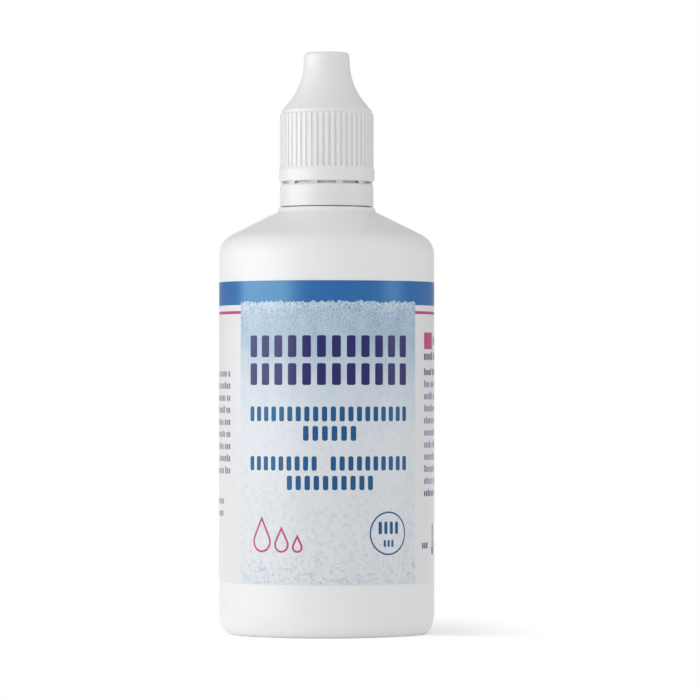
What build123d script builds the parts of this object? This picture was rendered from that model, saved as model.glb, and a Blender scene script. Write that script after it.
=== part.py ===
from build123d import *
import os
from math import cos, degrees, radians, tan

# A round 100 ml squeeze bottle for an eye-care solution, with a press-in drip nozzle and a
# tall-nosed screw cap, whose tamper band is still joined to it by thin bridges.
# Millimetres, +Z up, origin in the middle of the base, on the surface that it stands on.
# The front of the label faces -Y. Outlines are drawn as (radius, height) and turned about Z.

os.makedirs("parts", exist_ok=True)

# ---- Squeeze bottle
body_radius = 22.0
body_wall = 1.0
corner_z = 80.51  # where the side, carried on, would meet the shoulder cone
shoulder_angle = 26.3  # of the shoulder cone, from horizontal
shoulder_round = 4.4
heel_width = 2.2  # the heel is a quarter of an ellipse
heel_height = 4.6
ring_width = 1.2  # flat ring that the bottle stands on
push_up = 2.3  # the middle of the base, above the standing ring
kick_width = 1.5  # slope from the ring up to the pushed-up middle
kick_height = 1.3
kick_round = 0.8
floor_wall = 1.2
pinch_length = 24.0  # pinch-off seam across the base, along the mould's parting plane
pinch_width = 0.7
pinch_height = 0.35

# ---- Neck
neck_radius = 6.9
neck_wall = 1.3
neck_height = 17.39  # from the land to the mouth
neck_foot_step = 0.6  # the neck is this much thicker below its tamper bead
land_height = 0.98  # steep collar on the shoulder, which the tamper band stands over
land_batter = 0.36  # the collar is this much wider at its foot than at its top
land_step = 0.2  # the collar's top edge stands out from the band's face
land_round = 0.2
land_root_round = 0.5
throat_rise = 2.0  # the bore starts to open into the shoulder this far above the land
throat_flare = 2.0
throat_round = 1.0

# ---- Thread, single start and right-handed
pitch = 3.0
neck_turns = 1.5
cap_turns = 1.25
thread_depth = 1.0
valley_width = 1.4  # clear width between two turns, at the root
flank_run = 0.45  # each flank leans in by this much from root to crest
thread_below_mouth = 2.2  # upper end of the neck's thread, on its centre line
thread_play = 0.3  # radial, from each crest to the wall it faces
flank_shift = 0.2  # the cap's thread bears up, this far from midway between the neck's turns
root_sink = 0.1  # each thread reaches this far into its wall, so that they are one solid

# ---- Tamper band and its bridges
band_wall = 0.62
band_height = 4.54
band_gap = 0.2  # over the land
band_chamfer_width = 0.23
band_chamfer_height = 0.4
bead_catch = 0.62  # the bead stands out over the catch by this much
bead_play = 0.35  # from the bead to the band's wall
bead_height = 1.6
bead_crest = 0.3
catch_play = 0.1  # from the catch to the thread that it was pushed over
catch_drop = 0.3  # from the bead down to the catch
catch_height = 1.15
catch_lip = 0.35
bridge_count = 11
bridge_width = 1.3
bridge_flare = 0.3  # a bridge is this much wider where it meets the cap
bridge_height = 0.55
bridge_inset = 0.02  # from both edges of the band's top face

# ---- Screw cap
skirt_wall = 1.43  # from the inside of the skirt to the top of the ribs
tongue_wall = 0.4  # thin ring under the skirt, behind the slots between the bridges
tongue_length = 0.95
collar_step = 0.2  # the plain collar stands out from the ribs
collar_height = 2.4
collar_foot_round = 0.22
collar_chamfer_height = 0.5
rib_count = 50
rib_rise = 2.1  # top of the ribs, above the mouth of the neck
rib_top_chamfer = 0.45
groove_radius = 0.28
groove_depth = 0.36
deck_step = 0.02  # the plain edge lies this far behind the bottom of the grooves
deck_height = 0.4  # plain edge between the ribs and the flare
flare_angle = 39.5  # from the axis
flare_round = 13.0
inner_flare_round = 5.0
nose_draft = 3.0  # from the axis
nose_radius = 4.62
nose_round = 0.7
flare_wall = 1.25
nose_wall = 1.2
nose_top_wall = 1.4
gate_radius = 1.1  # dimple in the middle of the nose's top, with the moulding gate's stub in it
gate_depth = 0.3
gate_stub_radius = 0.35
gate_stub_height = 0.15
seal_ring_inset = 0.4  # from the edge of the insert's flange
seal_ring_width = 0.8
seal_gap = 0.05  # cap to insert: at the seal ring, the tip and the pin
pin_boss_radius = 1.7
pin_boss_length = 2.4
pin_length = 1.3

# ---- Drip insert
flange_inset = 0.2  # from the outside of the neck
flange_height = 0.8
flange_round = 0.15
plug_length = 8.0
plug_play = 0.05  # plug to bore, between its rings
plug_squeeze = 0.03  # the rings are this much larger than the bore
plug_wall = 1.0
plug_lead = 0.5
plug_ring_height = 0.8
plug_ring_depths = (2.0, 4.8)  # centre of each ring, below the flange
nozzle_foot_play = 0.6  # from the cap's seal ring
nozzle_foot_round = 0.4
nozzle_waist_radius = 2.7
nozzle_waist_height = 3.2
nozzle_waist_round = 3.0
nozzle_tip_radius = 1.9
nozzle_tip_round = 0.35
nozzle_height = 9.8  # above the flange
orifice_radius = 0.6
orifice_depth = 3.0
channel_radius = 0.35
channel_length = 3.0
funnel_height = 4.2

# ---- Label and contents
label_bottom = 10.85
label_drop = 5.8  # from the start of the shoulder's round down to the label
label_thickness = 0.08
label_lap = 6.0  # overlap at the back
glue_line = 0.02
film_gap = 0.05  # from the bottle's inner wall to the liquid
headspace = 2.7  # from the start of the shoulder's round down to the liquid's surface

# ---- Slopes, and the radii of what fits together, from the neck outwards
shoulder_slope = tan(radians(shoulder_angle))
nose_slope = tan(radians(nose_draft))
flare_slope = tan(radians(flare_angle))
bore_radius = neck_radius - neck_wall
thread_radius = neck_radius + thread_depth
skirt_radius = thread_radius + thread_play
rib_radius = skirt_radius + skirt_wall
collar_radius = rib_radius + collar_step
deck_radius = rib_radius - groove_depth - deck_step
catch_radius = thread_radius + catch_play
bead_radius = catch_radius + bead_catch
band_inner = bead_radius + bead_play
band_radius = band_inner + band_wall
land_radius = band_radius + land_step
land_foot_radius = land_radius + land_batter
neck_foot_radius = neck_radius + neck_foot_step
throat_radius = bore_radius + throat_flare
flange_radius = neck_radius - flange_inset
seal_ring_radius = flange_radius - seal_ring_inset
nozzle_foot_radius = seal_ring_radius - seal_ring_width - nozzle_foot_play


def shoulder_z(radius, inset=0.0):
    """Height of the shoulder cone, or of the cone that lies inset inside it."""
    return corner_z + shoulder_slope * (body_radius - radius) - inset / cos(radians(shoulder_angle))


# ---- Heights, from the shoulder up
side_top = corner_z - shoulder_round * tan(radians(90 - shoulder_angle) / 2)
land_z = shoulder_z(land_foot_radius) + land_height
mouth_z = land_z + neck_height
band_bottom = land_z + band_gap
band_top = band_bottom + band_height
catch_top = band_bottom + catch_height
bead_bottom = catch_top + catch_drop
cap_bottom = band_top + bridge_height
ribs_bottom = cap_bottom + collar_height + collar_chamfer_height
ribs_top = mouth_z + rib_rise
deck_z = ribs_top + deck_height
flange_top = mouth_z + flange_height
tip_z = flange_top + nozzle_height
boss_z = tip_z + seal_gap
ceiling_z = boss_z + pin_boss_length
cap_top = ceiling_z + nose_top_wall
gate_floor = cap_top - gate_depth
gate_stub_top = gate_floor + gate_stub_height
helix_bottom = mouth_z - thread_below_mouth - pitch * neck_turns
front = -90.0  # direction of the front, in degrees about Z


def nose_line(z, inset=0.0):
    """Radius of the nose's slightly conical side, or of the cone inset inside it."""
    return nose_radius - inset / cos(radians(nose_draft)) + nose_slope * (cap_top - z)


def flare_line(radius, inset=0.0):
    """Height of the flare's cone, or of the cone inset inside it."""
    return deck_z + (deck_radius - inset / cos(radians(flare_angle)) - radius) / flare_slope


def flare_corner(nose_inset=0.0, flare_inset=0.0):
    """Point where the nose's side and the flare's cone would meet without their round."""
    rise = flare_line(nose_line(cap_top, nose_inset), flare_inset) - cap_top
    z = cap_top + rise / (1 - nose_slope / flare_slope)
    return nose_line(z, nose_inset), z


def turned(outline):
    """Solid of revolution about Z from a closed outline of (radius, height)."""
    return revolve(Plane.XZ * make_face(outline), Axis.Z)


def thread(crest_radius, wall_radius, turns, start_z):
    """Trapezoid carried up a right-hand helix, its root sunk a little into its wall."""
    outward = 1 if crest_radius > wall_radius else -1
    root_radius = wall_radius - outward * root_sink
    root = (pitch - valley_width) / 2
    crest = root - flank_run
    section = Polyline(
        (root_radius, start_z - root),
        (crest_radius, start_z - crest),
        (crest_radius, start_z + crest),
        (root_radius, start_z + root),
        close=True,
    )
    path = Helix(pitch=pitch, height=pitch * turns, radius=crest_radius, center=(0, 0, start_z))
    return sweep(Plane.XZ * make_face(section), path=path, is_frenet=True)


def base_lines(wall, lift):
    """Pushed-up middle and heel of the base, moved in by a wall and up by a lift."""
    ring_outer = body_radius - heel_width - wall
    ring_inner = body_radius - heel_width - ring_width - wall
    kick_inner = ring_inner - kick_width
    middle = FilletPolyline(
        (0, push_up + lift), (kick_inner, kick_height + lift), (ring_inner, lift), radius=kick_round
    )
    ring = Line((ring_inner, lift), (ring_outer, lift))
    heel = EllipticalCenterArc(
        (ring_outer, heel_height + lift), heel_width, heel_height, start_angle=270, arc_size=90
    )
    return [middle, ring, heel]


def pinch_seam():
    """Low rib across the pushed-up middle of the base, with its top inside the wall."""
    half = pinch_length / 2
    kick_inner = body_radius - heel_width - ring_width - kick_width
    end_z = push_up - (push_up - kick_height) * half / kick_inner
    top = [(half, end_z + pinch_height), (0, push_up + pinch_height), (-half, end_z + pinch_height)]
    low = [(-half, end_z - pinch_height), (0, push_up - pinch_height), (half, end_z - pinch_height)]
    face = Plane.XZ * make_face(Polyline(top + low, close=True))
    return extrude(face, pinch_width / 2, both=True)


def make_bottle():
    inner_radius = body_radius - body_wall
    outside = FilletPolyline(
        (body_radius, heel_height),
        (body_radius, corner_z),
        (land_foot_radius, shoulder_z(land_foot_radius)),
        (land_radius, land_z),
        (neck_foot_radius, land_z),
        radius=[shoulder_round, land_root_round, land_round],
    )
    neck = Polyline(
        (neck_foot_radius, land_z),
        (neck_foot_radius, bead_bottom),
        (bead_radius, bead_bottom),
        (bead_radius, bead_bottom + bead_crest),
        (neck_radius, bead_bottom + bead_height),
        (neck_radius, mouth_z),
        (bore_radius, mouth_z),
        (bore_radius, land_z + throat_rise),
    )
    inside = FilletPolyline(
        (bore_radius, land_z + throat_rise),
        (throat_radius, shoulder_z(throat_radius, body_wall)),
        (inner_radius, shoulder_z(inner_radius, body_wall)),
        (inner_radius, heel_height + floor_wall),
        radius=[throat_round, shoulder_round - body_wall],
    )
    axis = Line((0, push_up), (0, push_up + floor_wall))
    outline = base_lines(0, 0) + [outside, neck, inside, axis] + base_lines(body_wall, floor_wall)
    neck_thread = thread(thread_radius, neck_radius, neck_turns, helix_bottom)
    return turned(outline) + pinch_seam() + neck_thread


def make_insert():
    plug_radius = bore_radius - plug_play
    plug_inner = plug_radius - plug_wall
    plug_bottom = mouth_z - plug_length
    channel_top = tip_z - orifice_depth
    channel_bottom = channel_top - channel_length
    plug = Polyline(
        (plug_inner, plug_bottom),
        (plug_radius - plug_lead, plug_bottom),
        (plug_radius, plug_bottom + plug_lead),
        (plug_radius, mouth_z),
        (flange_radius, mouth_z),
    )
    nozzle = FilletPolyline(
        (flange_radius, mouth_z),
        (flange_radius, flange_top),
        (nozzle_foot_radius, flange_top),
        (nozzle_waist_radius, flange_top + nozzle_waist_height),
        (nozzle_tip_radius, tip_z),
        (orifice_radius, tip_z),
        radius=[flange_round, nozzle_foot_round, nozzle_waist_round, nozzle_tip_round],
    )
    passage = Polyline(
        (orifice_radius, tip_z),
        (orifice_radius, channel_top),
        (channel_radius, channel_top),
        (channel_radius, channel_bottom),
        (plug_inner, channel_bottom - funnel_height),
        (plug_inner, plug_bottom),
    )
    insert = turned([plug, nozzle, passage])
    for depth in plug_ring_depths:
        ring = Cylinder(bore_radius + plug_squeeze, plug_ring_height)
        ring -= Cylinder(plug_radius - root_sink, plug_ring_height)
        insert += Pos(0, 0, mouth_z - depth) * ring
    return insert


def make_cap():
    seat_z = flange_top + seal_gap
    pin_radius = orifice_radius - seal_gap
    ring_inner = seal_ring_radius - seal_ring_width
    tongue_radius = skirt_radius + tongue_wall
    outside = FilletPolyline(
        (tongue_radius, cap_bottom),
        (collar_radius, cap_bottom),
        (collar_radius, cap_bottom + collar_height),
        (rib_radius, ribs_bottom),
        (rib_radius, ribs_top - rib_top_chamfer),
        (deck_radius, ribs_top),
        (deck_radius, deck_z),
        flare_corner(),
        (nose_radius, cap_top),
        (gate_radius, cap_top),
        radius=[collar_foot_round, 0, 0, 0, 0, 0, flare_round, nose_round],
    )
    gate = Polyline(
        (gate_radius, cap_top),
        (gate_radius, gate_floor),
        (gate_stub_radius, gate_floor),
        (gate_stub_radius, gate_stub_top),
        (0, gate_stub_top),
    )
    ceiling = Polyline(
        (0, gate_stub_top),
        (0, tip_z - pin_length),
        (pin_radius, tip_z - pin_length),
        (pin_radius, boss_z),
        (pin_boss_radius, boss_z),
        (pin_boss_radius, ceiling_z),
        (nose_line(ceiling_z, nose_wall), ceiling_z),
    )
    inner_flare = FilletPolyline(
        (nose_line(ceiling_z, nose_wall), ceiling_z),
        flare_corner(nose_wall, flare_wall),
        (ring_inner, flare_line(ring_inner, flare_wall)),
        radius=inner_flare_round,
    )
    skirt = Polyline(
        (ring_inner, flare_line(ring_inner, flare_wall)),
        (ring_inner, seat_z),
        (seal_ring_radius, seat_z),
        (seal_ring_radius, flare_line(seal_ring_radius, flare_wall)),
        (skirt_radius, flare_line(skirt_radius, flare_wall)),
        (skirt_radius, cap_bottom - tongue_length),
        (tongue_radius, cap_bottom - tongue_length),
        (tongue_radius, cap_bottom),
    )
    groove_length = deck_z - ribs_bottom
    groove = Pos(0, 0, groove_length / 2) * Cylinder(groove_radius, groove_length)
    groove += Sphere(groove_radius)
    groove = Pos(rib_radius - groove_depth + groove_radius, 0, ribs_bottom + groove_radius) * groove
    grooves = [Rot(0, 0, 360 * i / rib_count) * groove for i in range(rib_count)]
    thread_z = helix_bottom - pitch / 2 + flank_shift
    cap_thread = thread(skirt_radius - thread_depth, skirt_radius, cap_turns, thread_z)
    return turned([outside, gate, ceiling, inner_flare, skirt]) - grooves + cap_thread


def make_band():
    outline = Polyline(
        (band_inner, band_bottom),
        (band_radius, band_bottom),
        (band_radius, band_top - band_chamfer_height),
        (band_radius - band_chamfer_width, band_top),
        (band_inner, band_top),
        (band_inner, catch_top),
        (catch_radius, catch_top),
        (catch_radius, catch_top - catch_lip),
        close=True,
    )
    return turned(outline)


def make_bridges():
    inner = band_inner + bridge_inset
    outer = band_radius - band_chamfer_width - bridge_inset
    foot, head = bridge_width / 2, (bridge_width + bridge_flare) / 2
    web = Polyline(
        (-foot, band_top), (foot, band_top), (head, cap_bottom), (-head, cap_bottom), close=True
    )
    bridge = Pos(inner, 0, 0) * extrude(Plane.YZ * make_face(web), outer - inner)
    pitch_angle = 360 / bridge_count
    return [Rot(0, 0, front + (i + 0.5) * pitch_angle) * bridge for i in range(bridge_count)]


def make_label():
    inner = body_radius + glue_line
    outer = inner + label_thickness
    half_lap = degrees(label_lap / outer) / 2
    back = front + 180
    wrap = Circle(outer) - Circle(inner)
    lap_outer = CenterArc((0, 0), outer + label_thickness, back - half_lap, 2 * half_lap)
    lap_inner = CenterArc((0, 0), outer - label_thickness / 2, back - half_lap, 2 * half_lap)
    lap_ends = [Line(lap_outer @ end, lap_inner @ end) for end in (0, 1)]
    section = wrap + make_face([lap_outer, lap_inner] + lap_ends)
    return Pos(0, 0, label_bottom) * extrude(section, side_top - label_drop - label_bottom)


def make_solution():
    wall, lift = body_wall + film_gap, floor_wall + film_gap
    radius = body_radius - wall
    level = side_top - headspace
    rest = Polyline((radius, heel_height + lift), (radius, level), (0, level), (0, push_up + lift))
    return turned(base_lines(wall, lift) + [rest])


pieces = {
    "bottle": make_bottle(),
    "dropper_insert": make_insert(),
    "screw_cap": make_cap(),
    "tamper_band": make_band(),
    "band_bridges": Compound(children=make_bridges()),
    "label": make_label(),
    "solution": make_solution(),
}
for name, shape in pieces.items():
    export_step(shape, f"parts/{name}.step")
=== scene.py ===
"""Round 100 ml squeeze bottle of eye-care solution: finishes, printed label, camera and light."""
import math
import random

import bmesh
import bpy
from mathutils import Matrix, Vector
from mathutils.geometry import delaunay_2d_cdt


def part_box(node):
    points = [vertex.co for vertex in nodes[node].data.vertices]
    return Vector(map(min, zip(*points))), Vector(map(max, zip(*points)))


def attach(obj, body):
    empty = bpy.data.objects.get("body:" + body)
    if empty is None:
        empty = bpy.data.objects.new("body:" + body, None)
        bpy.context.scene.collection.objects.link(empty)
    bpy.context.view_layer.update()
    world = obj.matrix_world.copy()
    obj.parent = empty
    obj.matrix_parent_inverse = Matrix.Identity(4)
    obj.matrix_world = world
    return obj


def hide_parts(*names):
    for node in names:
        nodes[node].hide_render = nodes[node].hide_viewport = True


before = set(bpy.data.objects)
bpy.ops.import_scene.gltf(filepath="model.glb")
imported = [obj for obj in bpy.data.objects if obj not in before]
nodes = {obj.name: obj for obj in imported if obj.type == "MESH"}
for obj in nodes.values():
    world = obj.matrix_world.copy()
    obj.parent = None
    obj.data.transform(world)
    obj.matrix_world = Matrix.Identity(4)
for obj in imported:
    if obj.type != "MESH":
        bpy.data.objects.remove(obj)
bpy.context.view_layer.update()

MM = 0.001
FULL_TURN = 2 * math.pi


# ---- Materials --------------------------------------------------------------------------------

def linear(hex_colour):
    """Linear colour of an sRGB hex value."""
    parts = [int(hex_colour[i:i + 2], 16) / 255 for i in (1, 3, 5)]
    return tuple(p / 12.92 if p <= 0.04045 else ((p + 0.055) / 1.055) ** 2.4 for p in parts) + (1,)


def add(tree, kind, settings, sockets):
    """Add a node; a socket is given a value, or a link where it gets another node's output."""
    node = tree.nodes.new("ShaderNode" + kind)
    for name, value in settings.items():
        setattr(node, name, value)
    for name, value in sockets.items():
        if isinstance(value, bpy.types.NodeSocket):
            tree.links.new(value, node.inputs[name])
        else:
            node.inputs[name].default_value = value
    return node


def new_material(name):
    """Empty material, its node tree and the place of each point in metres."""
    material = bpy.data.materials.new(name)
    material.use_nodes = True
    tree = material.node_tree
    tree.nodes.clear()
    return material, tree, add(tree, "TexCoord", {}, {}).outputs["Object"]


def finish_with(tree, shader):
    add(tree, "OutputMaterial", {}, {"Surface": shader.outputs[0]})


def noise(tree, place, size, detail):
    """Noise from 0 to 1, with patches about size millimetres across."""
    return add(tree, "TexNoise", {}, {"Vector": place, "Scale": 1 / (size * MM),
                                      "Detail": detail}).outputs["Fac"]


def blend(tree, factor, first, second):
    """Colour between two, each an sRGB hex value or another node's output."""
    first, second = (linear(c) if isinstance(c, str) else c for c in (first, second))
    return add(tree, "MixRGB", {}, {"Fac": factor, "Color1": first, "Color2": second}).outputs[0]


def ranged(tree, value, source, target=(0.0, 1.0), easing="LINEAR"):
    """Value carried over from one range to another, and held at its ends."""
    return add(tree, "MapRange", {"interpolation_type": easing}, {
        "Value": value, "From Min": source[0], "From Max": source[1],
        "To Min": target[0], "To Max": target[1]}).outputs[0]


def combine(tree, operation, first, second):
    return add(tree, "Math", {"operation": operation}, {0: first, 1: second}).outputs[0]


def bump(tree, height, depth, **under):
    """Normal that follows a height, depth millimetres deep, over any Normal given."""
    return add(tree, "Bump", {}, {"Height": height, "Distance": depth * MM, "Strength": 1.0,
                                  **under}).outputs["Normal"]


def blow_moulded_ldpe():
    """Opaque white low-density polyethylene: soft, faintly waxy gloss with light just under the
    skin, a very fine blasted-mould grain, and the slow waviness of a wall blown against its mould."""
    material, tree, place = new_material("ldpe_white_blow_moulded")
    cloud = noise(tree, place, 14, 2.0)
    tone = blend(tree, cloud, "#EFF0F1", "#F4F4F5")
    wavy = bump(tree, noise(tree, place, 11, 1.0), 0.03)
    grained = bump(tree, noise(tree, place, 0.35, 3.0), 0.004, Normal=wavy)
    finish_with(tree, add(tree, "BsdfPrincipled", {}, {
        "Base Color": tone, "Roughness": ranged(tree, cloud, (0, 1), (0.34, 0.44)), "IOR": 1.51,
        "Subsurface Weight": 0.25, "Subsurface Radius": (1.0, 0.9, 0.8),
        "Subsurface Scale": 0.9 * MM, "Normal": grained}))
    return material


def moulded_polypropylene():
    """Injection-moulded white polypropylene: whiter and harder-looking than the bottle, satin from
    a spark-eroded mould, with faint flow streaks that run up from the rim to the nose."""
    material, tree, place = new_material("polypropylene_white_moulded")
    along = add(tree, "Mapping", {}, {"Vector": place, "Scale": (1, 1, 0.12)}).outputs[0]
    streaks = noise(tree, along, 2.5, 3.0)
    tone = blend(tree, streaks, "#ECECED", "#F0F0F1")
    grained = bump(tree, noise(tree, place, 0.25, 2.0), 0.003)
    finish_with(tree, add(tree, "BsdfPrincipled", {}, {
        "Base Color": tone, "Roughness": ranged(tree, streaks, (0, 1), (0.3, 0.38)), "IOR": 1.49,
        "Subsurface Weight": 0.5, "Subsurface Radius": (1.0, 0.95, 0.9),
        "Subsurface Scale": 1.0 * MM, "Normal": grained}))
    return material


def natural_ldpe():
    """Unpigmented low-density polyethylene of the drip insert: milky, cool and see-through at its
    thin edges, with a smooth polished-mould skin."""
    material, tree, place = new_material("ldpe_natural_moulded")
    finish_with(tree, add(tree, "BsdfPrincipled", {}, {
        "Base Color": blend(tree, noise(tree, place, 3, 2.0), "#E6ECEE", "#F0F3F4"),
        "Roughness": 0.24, "IOR": 1.51, "Subsurface Weight": 0.6,
        "Subsurface Radius": (1.0, 1.0, 1.0), "Subsurface Scale": 1.5 * MM}))
    return material


def clear_solution():
    """The bottle's contents: clear as water, with the slightest blue in its depth."""
    material, tree, place = new_material("saline_clear")
    finish_with(tree, add(tree, "BsdfPrincipled", {}, {
        "Base Color": blend(tree, noise(tree, place, 20, 1.0), "#F2FAFD", "#FBFEFF"),
        "Roughness": 0.0, "IOR": 1.333, "Transmission Weight": 1.0}))
    return material


def film_shader(tree, place, colour, sheen="#FFFFFF", ior=1.58):
    """Varnished polypropylene film over a soft bottle: an even gloss with slight orange peel. A
    bronzing ink lends its gloss a colour, sheen, and a higher index of refraction, ior."""
    return add(tree, "BsdfPrincipled", {}, {
        "Base Color": colour, "Roughness": 0.31, "IOR": ior, "Specular Tint": linear(sheen),
        "Normal": bump(tree, noise(tree, place, 5, 2.0), 0.008)})


def printed_film(name, thick, thin, **gloss):
    """Flexographic ink on the white film, under varnish: an even colour, but for the mottle where
    the ink lies thinner, drawn at 0.6 mm so that it shows."""
    material, tree, place = new_material(name)
    tone = blend(tree, noise(tree, place, 0.6, 2.0), thick, thin)
    finish_with(tree, film_shader(tree, place, tone, **gloss))
    return material


def icy_print(bottom, top):
    """Printed picture of frosted, bubbly ice: blue and densely frosted at its top, clearing to
    pale grey, with small bubbles at its bottom. Bottom and top are heights in metres."""
    frost_depth, grit_height = 14 * MM, 22 * MM
    material, tree, place = new_material("film_printed_ice")
    height = add(tree, "SeparateXYZ", {}, {"Vector": place}).outputs["Z"]
    wash = add(tree, "ValToRGB", {}, {"Fac": ranged(tree, height, (bottom, top))})
    stops = wash.color_ramp.elements
    stops[0].position, stops[0].color = 0.0, linear("#DEE2E6")
    stops[1].position, stops[1].color = 1.0, linear("#4F83AE")
    for at, colour in ((0.12, "#E2E5E9"), (0.5, "#DDE3E9"), (0.66, "#CBD8E3"), (0.82, "#90B2CC")):
        stops.new(at).color = linear(colour)
    cloudy = ranged(tree, noise(tree, place, 4, 5.0), (0.3, 0.7), (0.0, 0.35))
    soft = blend(tree, cloudy, wash.outputs[0], "#E6ECF1")
    cells = add(tree, "TexVoronoi", {"feature": "DISTANCE_TO_EDGE"},
                {"Vector": place, "Scale": 1 / (0.72 * MM)})
    walls = ranged(tree, cells.outputs["Distance"], (0, 0.24), (1.0, 0.0))
    frost = ranged(tree, height, (top - frost_depth, top), (0.0, 0.85))
    icy = blend(tree, combine(tree, "MULTIPLY", walls, frost), soft, "#E4F0F7")
    grit = ranged(tree, noise(tree, place, 0.9, 4.0), (0.5, 0.68), (0.0, 0.5))
    low = ranged(tree, height, (bottom + grit_height, bottom), (0.4, 1.0))
    bubbly = blend(tree, combine(tree, "MULTIPLY", grit, low), icy, "#A9BECB")
    finish_with(tree, film_shader(tree, place, bubbly))
    return material


# ---- Label artwork, laid out flat: u is millimetres round the film from the middle of the front,
# ---- positive to the right, and v is millimetres above the film's lower edge

label_low, label_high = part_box("label")
film_radius = label_high[0] / MM
film_thickness = label_high[1] / MM - film_radius  # the doubled strip at the back shows it
film_inner = film_radius - film_thickness
film_bottom = label_low[2] / MM
film_height = label_high[2] / MM - film_bottom
film_round = FULL_TURN * film_radius
lap_half = 3.0
lap_ramp = 1.2  # the film climbs onto its own start over this length
film_end = film_round / 2 + lap_half  # cut edge that shows at the back
film_start = film_end - film_round

panel_left, panel_right = -20.0, 20.9
panel_top = 56.9
text_left, text_right = -17.0, 17.9
side_text_left, side_text_right = -24.1, 24.5
band_bottom = 56.3
line_bottom, line_top = 54.5, 55.1


def block(u, v, width, height, radius=0.2):
    """Rectangle with rounded corners, from its bottom left corner."""
    radius = min(radius, width / 2, height / 2)
    corners = ((u + width - radius, v + radius, 270), (u + width - radius, v + height - radius, 0),
               (u + radius, v + height - radius, 90), (u + radius, v + radius, 180))
    turns = [math.radians(45 * step) for step in range(3)]
    return [(cu + radius * math.cos(math.radians(a) + t), cv + radius * math.sin(math.radians(a) + t))
            for cu, cv, a in corners for t in turns]


def circle(u, v, radius, sides=48):
    turns = [FULL_TURN * i / sides for i in range(sides)]
    return [(u + radius * math.cos(t), v + radius * math.sin(t)) for t in turns]


def droplet(u, v, height, inset=0.0):
    """Drop that hangs from a point at its top, or the outline that lies inset inside it."""
    radius = height * 0.3
    centre = v + radius
    lean = math.acos(radius / (height - radius))
    tip = v + height - inset / math.cos(lean)
    radius -= inset
    start, sweep = math.pi / 2 + lean, FULL_TURN - 2 * lean
    bowl = [start + sweep * i / 40 for i in range(41)]
    return [(u, tip)] + [(u + radius * math.cos(t), centre + radius * math.sin(t)) for t in bowl]


def heading(u, v, width, height, letters):
    """Row of plain blocks in the place of a line of large print."""
    weight = 0.6  # width of a block over the distance from one to the next
    step = width / (letters - 1 + weight)
    return [block(u + step * i, v, step * weight, height, 0.35) for i in range(letters)]


def small_print(rng, left, v, width, height, letter=0.78):
    """Row of plain blocks, grouped as words are, in the place of a line of small print."""
    gap = letter * 0.32
    ascender, share_tall = 1.3, 0.22
    row, u, word = [], left, rng.randint(3, 9)
    while u + letter < left + width:
        size = letter * rng.uniform(0.75, 1.2)
        tall = height * (ascender if rng.random() < share_tall else 1.0)
        row.append(block(u, v, size, tall, 0.12))
        u += size + gap
        word -= 1
        if word == 0:
            u += 2.4 * gap
            word = rng.randint(2, 9)
    return row


def ragged_panel(rng):
    """Outline of the ice picture, with the crystals of its top edge standing over the band."""
    step = 0.38
    count = round((panel_right - panel_left) / step)
    edge = [(panel_right - (panel_right - panel_left) * i / count,
             panel_top + rng.uniform(-0.28, 0.3)) for i in range(count + 1)]
    return [(panel_left, 0), (panel_right, 0)] + edge


def bubbles(rng, count, low, high, smallest, largest):
    """Small bubbles scattered over the panel's width, denser towards low."""
    found = []
    for _ in range(count):
        u = rng.uniform(panel_left + 0.4, panel_right - 0.4)
        v = low + (high - low) * rng.random() ** 1.6
        found.append(circle(u, v, rng.uniform(smallest, largest), 8))
    return found


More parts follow.
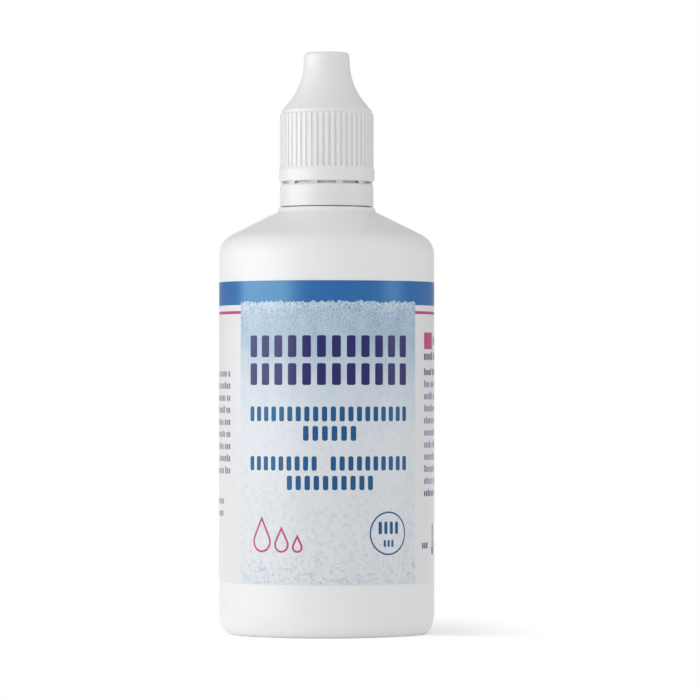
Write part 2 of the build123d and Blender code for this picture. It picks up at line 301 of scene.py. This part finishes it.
def label_art():
    """Shapes in the order that they are laid down, each with the ink that fills it."""
    rng = random.Random(11)
    art = []

    def lay(ink, *groups):
        art.extend((shape, ink) for group in groups for shape in group)

    def hoop(low, high):
        return [[(film_start, low), (film_end, low), (film_end, high), (film_start, high)]]

    lay("blue", hoop(band_bottom, film_height))
    lay("magenta", hoop(line_bottom, line_top))
    lay("ice", [ragged_panel(rng)])
    lay("frost", bubbles(rng, 150, panel_top - 0.35, panel_top - 1.3, 0.08, 0.2))
    lay("foam", bubbles(rng, 60, 0.4, 6, 0.1, 0.24))
    lay("ice_shade", bubbles(rng, 90, 0.4, 4.5, 0.08, 0.2))

    # two large title lines, two smaller ones under them, and a third pair
    width = text_right - text_left
    lay("navy", heading(text_left, 45.7, width, 4.4, 12), heading(text_left, 40.1, width, 4.4, 12))
    lay("mid_blue", heading(text_left, 32.8, width, 3.0, 20), heading(-4.8, 28.9, 10.8, 3.0, 6))
    lay("mid_blue", heading(text_left, 22.9, 15.0, 2.9, 9), heading(0.8, 22.9, 17.1, 2.9, 10))
    lay("mid_blue", heading(-8.2, 19.0, 17.8, 2.9, 10))

    # thin-line drops at the left, and a ring with two short rows at the right
    for u, height in ((-14.0, 7.4), (-9.4, 5.4), (-6.0, 3.8)):
        lay("magenta", [droplet(u, 6.4, height)])
        lay("ice", [droplet(u, 6.4, height, 0.42)])
    ring_u, ring_v, ring_radius = 13.25, 10.25, 4.4
    lay("mid_blue", [circle(ring_u, ring_v, ring_radius)])
    lay("ice", [circle(ring_u, ring_v, ring_radius - 0.33)])
    lay("mid_blue", heading(ring_u - 2.4, ring_v - 0.2, 4.8, 2.6, 4),
        heading(ring_u - 1.2, ring_v - 2.8, 2.4, 1.5, 3))

    # small print round the sides, set against the panel
    side_width = 41.0
    pitch = 2.46
    for line in range(9):
        row = small_print(rng, side_text_left - side_width, 41.8 - pitch * line, side_width, 1.1)
        slack = side_text_left - max(u for u, _ in row[-1])
        lay("violet_grey", [[(u + slack, v) for u, v in shape] for shape in row])
    for line in range(2):
        lay("violet_grey", small_print(rng, side_text_left - side_width, 15.9 - pitch * line,
                                       side_width - 2.2, 1.1))
    lay("magenta", [block(side_text_right, 47.4, 5.0, 3.4, 0.1)])
    lay("violet", small_print(rng, side_text_right + 6, 48.3, 18, 1.4, 0.95))
    lay("violet", small_print(rng, side_text_right, 45.2, 22, 1.3, 0.9))
    for line in range(11):
        ink = "violet" if line in (0, 10) else "violet_grey"
        lay(ink, small_print(rng, side_text_right, 42.1 - pitch * line, side_width, 1.1))
    lay("violet", small_print(rng, 23.6, 6.9, 3.2, 1.2))
    lay("violet", [block(29.3, 6.7, 0.9, 5.2, 0.45), circle(29.75, 6.5, 1.0, 20)])
    lay("violet", small_print(rng, 32.2, 6.9, 6, 1.1))
    return art


# ---- Label mesh: the flat artwork is cut into one net of faces and wrapped round the bottle

def film_radius_at(u):
    """Outer radius round the film: it climbs onto its own start, and ends in a cut edge."""
    climb = (u - (film_end - 2 * lap_half - lap_ramp)) / lap_ramp
    return film_radius + film_thickness * min(max(climb, 0.0), 1.0)


def wrapped(u, v, radius):
    angle = u / film_radius
    return (radius * MM * math.sin(angle), -radius * MM * math.cos(angle), (film_bottom + v) * MM)


def film_normal(u):
    step = 0.05
    slope = (film_radius_at(min(u + step, film_end)) - film_radius_at(u - step)) / (2 * step)
    angle = u / film_radius
    return Vector((math.sin(angle) - slope * math.cos(angle),
                   -math.cos(angle) - slope * math.sin(angle), 0)).normalized()


def make_label(inks):
    """One closed sleeve: the printed outside as an exact net of ink areas, with rims and inside."""
    art = label_art()
    points, outlines = [], []
    frame_corners = [(film_start, 0), (film_end, 0),
                     (film_end, film_height), (film_start, film_height)]
    for outline in [frame_corners] + [shape for shape, _ in art]:
        first = len(points)
        points += outline
        outlines.append(list(range(first, len(points))))
    columns = 144
    rulings = []
    across = [film_start + film_round * i / columns for i in range(1, columns)]
    across += [panel_left, panel_right, film_end - 2 * lap_half - lap_ramp, film_end - 2 * lap_half]
    for u in across:
        rulings.append((len(points), len(points) + 1))
        points += [(u, 0), (u, film_height)]
    flat, _, faces, _, _, sources = delaunay_2d_cdt(
        [Vector(p) for p in points], rulings, outlines, 1, 1e-4)
    ink_names = ["film_white"] + [ink for _, ink in art]
    order = list(inks)
    verts = [wrapped(u, v, film_radius_at(u)) for u, v in flat]
    normals = [film_normal(u) for u, _ in flat]
    slots = [order.index(ink_names[max(source)]) for source in sources]

    def on_edge(axis, value):
        found = [i for i, point in enumerate(flat) if abs(point[axis] - value) < 1e-3]
        return sorted(found, key=lambda i: flat[i][1 - axis])

    bottom, top = on_edge(1, 0), on_edge(1, film_height)
    start, end = on_edge(0, film_start), on_edge(0, film_end)
    outside = len(faces)
    count = len(bottom) - 1
    inner_bottom = [len(verts) + i for i in range(count)]
    verts += [wrapped(flat[i][0], 0, film_inner) for i in bottom[:-1]]
    inner_top = [len(verts) + i for i in range(count)]
    verts += [wrapped(flat[i][0], film_height, film_inner) for i in bottom[:-1]]
    faces = [list(face) for face in faces]
    for i in range(count):
        j = (i + 1) % count
        low = [bottom[i], inner_bottom[i], inner_bottom[j], bottom[i + 1]]
        high = [top[i + 1], inner_top[j], inner_top[i], top[i]]
        if j == 0:
            low.insert(3, bottom[0])
            high.insert(1, top[0])
        faces += [low, high, [inner_bottom[i], inner_top[i], inner_top[j], inner_bottom[j]]]
    faces.append(start + end[::-1])
    slots += [order.index("film_white")] * (len(faces) - outside)

    mesh = bpy.data.meshes.new("label_film")
    mesh.from_pydata(verts, [], faces)
    mesh.polygons.foreach_set("material_index", slots)
    for ink in order:
        mesh.materials.append(inks[ink])
    corner_normals = []
    for polygon in mesh.polygons:
        polygon.use_smooth = True
        for vertex in polygon.vertices:
            corner_normals.append(normals[vertex] if polygon.index < outside else polygon.normal)
    mesh.normals_split_custom_set(corner_normals)
    label = bpy.data.objects.new("label_film", mesh)
    bpy.context.scene.collection.objects.link(label)
    return label


# ---- Mould parting line ------------------------------------------------------------------------

def ridge(side, low, high):
    """Cross-sections of a low ridge up one side of the bottle, on the bottle's own surface."""
    half_width, half_crest, rise, sink = 0.16 * MM, 0.06 * MM, 0.06 * MM, 0.1 * MM
    section = ((-half_width, -sink), (-half_crest, rise), (half_crest, rise), (half_width, -sink))
    count = math.ceil((high - low) / (0.6 * MM))
    verts = []
    for i in range(count + 1):
        z = low + (high - low) * i / count
        _, foot, normal, _ = nodes["bottle"].ray_cast((side, 0, z), (-side, 0, 0))
        verts += [foot + normal * out + Vector((0, across, 0)) for across, out in section]
    return verts


def make_parting_line():
    """Fine line where the two halves of the blow mould met: a ridge up each side of the bottle,
    below the label and from the label's upper edge to the collar under the neck."""
    gap = 0.3 * MM
    collar_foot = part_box("tamper_band")[0][2] - 1.5 * MM
    verts, faces = [], []
    for side in (-1, 1):
        for low, high in ((gap, label_low[2] - gap), (label_high[2] + gap, collar_foot)):
            first = len(verts)
            verts += ridge(side, low, high)
            for at in range(first, len(verts) - 4, 4):
                faces += [[at + i, at + (i + 1) % 4, at + 4 + (i + 1) % 4, at + 4 + i]
                          for i in range(4)]
            faces += [[first + i for i in (3, 2, 1, 0)], [len(verts) - 4 + i for i in range(4)]]
    mesh = bpy.data.meshes.new("parting_line")
    mesh.from_pydata(verts, [], faces)
    shape = bmesh.new()
    shape.from_mesh(mesh)
    bmesh.ops.recalc_face_normals(shape, faces=shape.faces)
    shape.to_mesh(mesh)
    shape.free()
    mesh.materials.append(slot_materials["bottle"])
    line = bpy.data.objects.new("parting_line", mesh)
    bpy.context.scene.collection.objects.link(line)
    return line


# ---- Camera and light -------------------------------------------------------------------------

def look(obj, target):
    obj.rotation_euler = (Vector(target) - obj.location).to_track_quat("-Z", "Y").to_euler()


def add_camera():
    data = bpy.data.cameras.new("camera")
    data.lens = 241.8
    camera = bpy.data.objects.new("camera", data)
    camera.location = (0, -0.965, 0.04996)
    look(camera, (0.00478, 0, 0.05816))
    bpy.context.scene.collection.objects.link(camera)
    bpy.context.scene.camera = camera


def add_softbox(name, bearing, elevation, size, power):
    """Rectangular lamp that faces the bottle; bearing is degrees to the right of the front, and
    size is metres across and up."""
    distance, middle = 0.8, Vector((0, 0, 0.06))
    data = bpy.data.lights.new(name, "AREA")
    data.shape = "RECTANGLE"
    data.size, data.size_y = size
    data.energy = power
    lamp = bpy.data.objects.new(name, data)
    turn, rise = math.radians(bearing), math.radians(elevation)
    lamp.location = middle + distance * Vector((math.sin(turn) * math.cos(rise),
                                                -math.cos(turn) * math.cos(rise), math.sin(rise)))
    look(lamp, middle)
    bpy.context.scene.collection.objects.link(lamp)


def seen_directly(tree):
    """1 for rays that show the background: from the camera, or by way of metal and glass."""
    path = add(tree, "LightPath", {}, {}).outputs
    mirrored = combine(tree, "MAXIMUM", path["Is Glossy Ray"], path["Is Transmission Ray"])
    return combine(tree, "MAXIMUM", path["Is Camera Ray"], mirrored)


def make_world():
    """Even light from all round, and white to look at. A gloss shows that white only where it
    faces the backdrop, behind the bottle; elsewhere it shows the dimmer room."""
    world = bpy.data.worlds.new("studio")
    bpy.context.scene.world = world
    world.use_nodes = True
    tree = world.node_tree
    tree.nodes.clear()
    path = add(tree, "LightPath", {}, {}).outputs
    seen = combine(tree, "MAXIMUM", path["Is Camera Ray"], path["Is Transmission Ray"])
    heading = add(tree, "TexCoord", {}, {}).outputs["Generated"]
    back = add(tree, "SeparateXYZ", {}, {"Vector": heading}).outputs["Y"]
    behind = ranged(tree, back, (0.9, 0.99), easing="SMOOTHSTEP")
    mirrored = combine(tree, "MULTIPLY", path["Is Glossy Ray"], behind)
    room = ranged(tree, path["Is Glossy Ray"], (0, 1), (0.64, 0.24))
    level = add(tree, "MapRange", {}, {"Value": combine(tree, "MAXIMUM", seen, mirrored),
                                       "To Min": room, "To Max": 1.0})
    light = add(tree, "Background", {}, {"Color": (1, 1, 1, 1), "Strength": level.outputs[0]})
    add(tree, "OutputWorld", {}, {"Surface": light.outputs[0]})


def make_floor():
    """White table sheet that keeps the bottle's shadow, which falls to the right and behind, and
    runs out into white all round it."""
    reach = 3.0
    shadow_right = 12 * MM  # middle of the part that keeps its shading
    shading_from, white_from = 6 * MM, 36 * MM  # distances from that middle
    front_from, front_white = 2 * MM, -18 * MM
    mesh = bpy.data.meshes.new("floor")
    mesh.from_pydata([(-reach, -reach, 0), (reach, -reach, 0), (reach, reach, 0),
                      (-reach, reach, 0)], [], [(0, 1, 2, 3)])
    floor = bpy.data.objects.new("floor", mesh)
    bpy.context.scene.collection.objects.link(floor)
    material, tree, place = new_material("paper_white_matt")
    paper = add(tree, "BsdfDiffuse", {}, {"Color": linear("#FAFAFA")})
    lift = add(tree, "Emission", {}, {"Color": (1, 1, 1, 1), "Strength": 0.16})
    lifted = add(tree, "AddShader", {}, {0: paper.outputs[0], 1: lift.outputs[0]})
    white = add(tree, "Emission", {}, {"Color": (1, 1, 1, 1), "Strength": 1.0})
    shaded = add(tree, "Mapping", {}, {"Vector": place, "Location": (-shadow_right, 0, 0),
                                       "Scale": (1, 0.35, 1)})
    distance = add(tree, "VectorMath", {"operation": "LENGTH"}, {0: shaded.outputs[0]})
    away = ranged(tree, distance.outputs["Value"], (shading_from, white_from), easing="SMOOTHSTEP")
    depth = add(tree, "SeparateXYZ", {}, {"Vector": place}).outputs["Y"]
    front = ranged(tree, depth, (front_from, front_white), easing="SMOOTHSTEP")
    seen = add(tree, "MixShader", {}, {0: combine(tree, "MAXIMUM", away, front),
                                       1: lifted.outputs[0], 2: white.outputs[0]})
    both = add(tree, "MixShader", {}, {0: seen_directly(tree), 1: paper.outputs[0],
                                       2: seen.outputs[0]})
    finish_with(tree, both)
    mesh.materials.append(material)


# ---- Put together -----------------------------------------------------------------------------

slot_materials = {
    "bottle": blow_moulded_ldpe(),
    "dropper_insert": natural_ldpe(),
    "screw_cap": moulded_polypropylene(),
    "solution": clear_solution(),
}
slot_materials["tamper_band"] = slot_materials["band_bridges"] = slot_materials["screw_cap"]
for name, material in slot_materials.items():
    for slot in nodes[name].material_slots:
        slot.material = material

inks = {
    "film_white": printed_film("film_white_varnished", "#E5E6E7", "#E9EAEB"),
    "blue": printed_film("film_ink_blue", "#0558A8", "#075EB0", sheen="#C4FFF8", ior=1.95),
    "magenta": printed_film("film_ink_magenta", "#BE2472", "#C63A80"),
    "navy": printed_film("film_ink_navy", "#140F5E", "#1E1A68", sheen="#E8ECFF"),
    "mid_blue": printed_film("film_ink_mid_blue", "#0E4884", "#1C5590", sheen="#C4FFF8"),
    "violet": printed_film("film_ink_violet", "#33275F", "#423670"),
    "violet_grey": printed_film("film_ink_violet_grey", "#7A7593", "#928EA6"),
    "frost": printed_film("film_ink_frost", "#C6DBE8", "#D6E6F0"),
    "foam": printed_film("film_ink_foam", "#E6EEF3", "#EFF5F8"),
    "ice_shade": printed_film("film_ink_ice_shade", "#9DB8C9", "#B2C7D5"),
    "ice": icy_print(label_low[2], label_high[2]),
}
label = make_label(inks)
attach(label, "bottle")
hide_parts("label")

parting_line = make_parting_line()
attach(parting_line, "bottle")

make_world()
make_floor()
add_camera()
add_softbox("key_left", -71, 8, (0.95, 0.2), 2.45)
add_softbox("key_edge", -38, 8, (0.3, 0.28), 0.22)
add_softbox("fill_right_high", 55, 35, (0.5, 0.4), 0.3)
add_softbox("fill_right_low", 74, 8, (0.3, 0.28), 0.36)
bpy.context.scene.view_settings.view_transform = "Standard"
